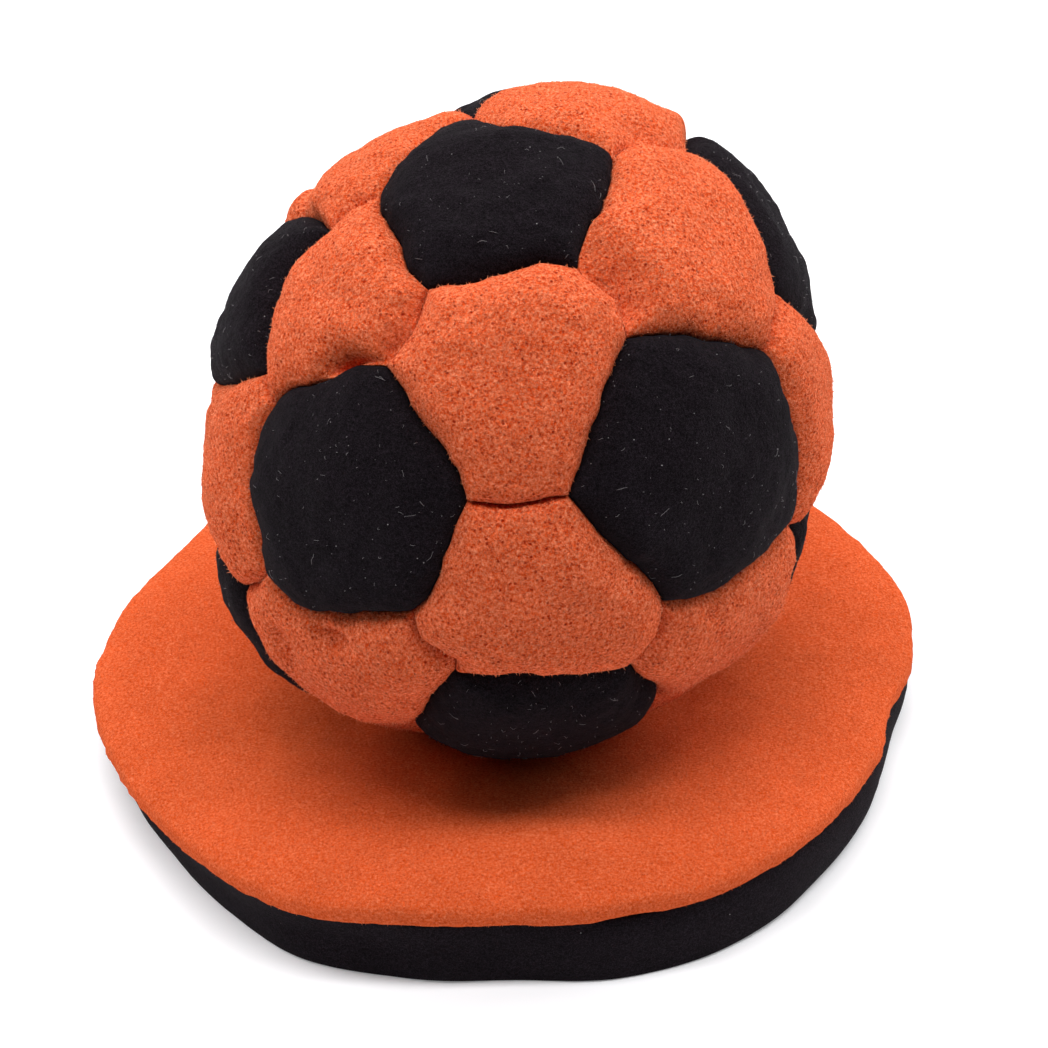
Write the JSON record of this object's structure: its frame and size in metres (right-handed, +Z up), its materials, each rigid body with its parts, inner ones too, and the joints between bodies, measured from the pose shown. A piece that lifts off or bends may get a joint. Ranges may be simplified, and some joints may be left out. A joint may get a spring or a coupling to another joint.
{
  "type": "footbag",
  "caption": "Round stitched footbag of puffed suede panels resting on a flat round suede bag, with pellet filling and thread inside.",
  "frame": {"origin": "middle of the flat underside of the flat bag, where the set rests", "axes": "+Z up out of the flat bag toward the ball, -Y toward the viewer of the picture, +X to the right"},
  "size_m": [0.0756, 0.0732, 0.0616],
  "materials": {
    "orange_suede": "matte",
    "black_suede": "matte",
    "filling_pellets": "matte",
    "sewing_thread": "matte"
  },
  "bodies": {
    "flat_bag": {"disc_bottom_panel": "black_suede", "disc_top_panel": "orange_suede", "disc_filling": "filling_pellets", "disc_seam_thread": "sewing_thread"},
    "ball": {"pentagon_panel_01": "black_suede", "pentagon_panel_02": "black_suede", "pentagon_panel_03": "black_suede", "pentagon_panel_04": "black_suede", "pentagon_panel_05": "black_suede", "pentagon_panel_06": "black_suede", "pentagon_panel_07": "black_suede", "pentagon_panel_08": "black_suede", "pentagon_panel_09": "black_suede", "pentagon_panel_10": "black_suede", "pentagon_panel_11": "black_suede", "pentagon_panel_12": "black_suede", "hexagon_panel_01": "orange_suede", "hexagon_panel_02": "orange_suede", "hexagon_panel_03": "orange_suede", "hexagon_panel_04": "orange_suede", "hexagon_panel_05": "orange_suede", "hexagon_panel_06": "orange_suede", "hexagon_panel_07": "orange_suede", "hexagon_panel_08": "orange_suede", "hexagon_panel_09": "orange_suede", "hexagon_panel_10": "orange_suede", "hexagon_panel_11": "orange_suede", "hexagon_panel_12": "orange_suede", "hexagon_panel_13": "orange_suede", "hexagon_panel_14": "orange_suede", "hexagon_panel_15": "orange_suede", "hexagon_panel_16": "orange_suede", "hexagon_panel_17": "orange_suede", "hexagon_panel_18": "orange_suede", "hexagon_panel_19": "orange_suede", "hexagon_panel_20": "orange_suede", "ball_filling": "filling_pellets", "ball_seam_thread": "sewing_thread"}
  },
  "joints": [
    {"name": "ball_lift", "type": "slide", "parent": "flat_bag", "child": "ball", "axis": [0, 0, 1], "range_m": [0, 0.1]}
  ]
}
